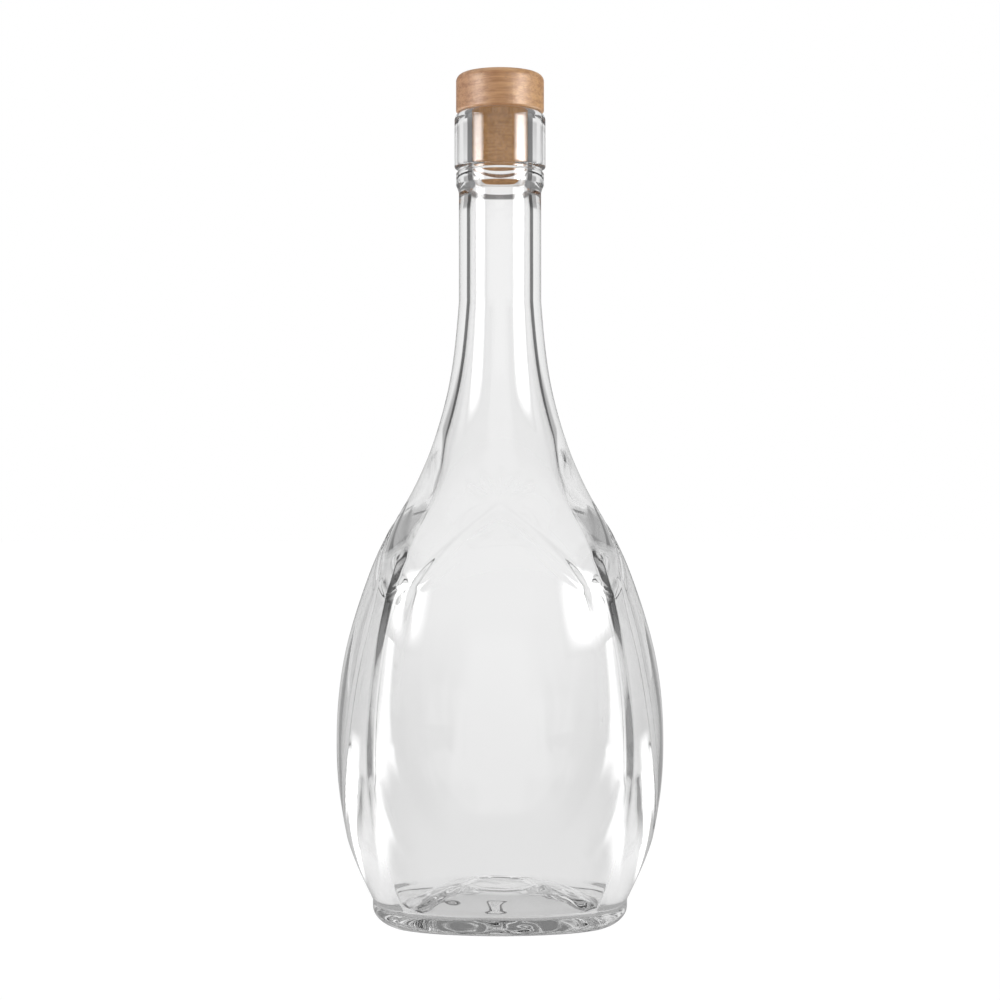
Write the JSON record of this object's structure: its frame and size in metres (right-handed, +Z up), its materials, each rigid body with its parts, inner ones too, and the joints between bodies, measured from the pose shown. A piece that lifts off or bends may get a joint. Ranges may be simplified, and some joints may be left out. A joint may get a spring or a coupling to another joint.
{
  "type": "stoppered glass bottle",
  "caption": "Clear pear-shaped glass bottle with a long neck, bulging arched panels and a wooden bar-top cork stopper that pulls out.",
  "frame": {"origin": "on the table under the bottle's axis, in the plane of its bearing ring", "axes": "+Z up along the bottle's axis to the stopper; +X and +Y square to two neighbouring panels, -Y towards the picture's camera"},
  "size_m": [0.1084, 0.1084, 0.2787],
  "materials": {
    "clear_glass": "clear moulded flint glass, polished",
    "turned_wood": "fine-grained turned wood, sanded, unvarnished",
    "cork": "fine pressed cork, sanded",
    "glue": "set glue, milky"
  },
  "bodies": {
    "bottle": {"glass_bottle": "clear_glass"},
    "stopper": {"stopper_head": "turned_wood", "cork_shank": "cork", "glue_film": "glue"}
  },
  "joints": [
    {"name": "stopper_pull", "type": "slide", "parent": "bottle", "child": "stopper", "axis": [0, 0, 1], "range_m": [0, 0.04]}
  ]
}
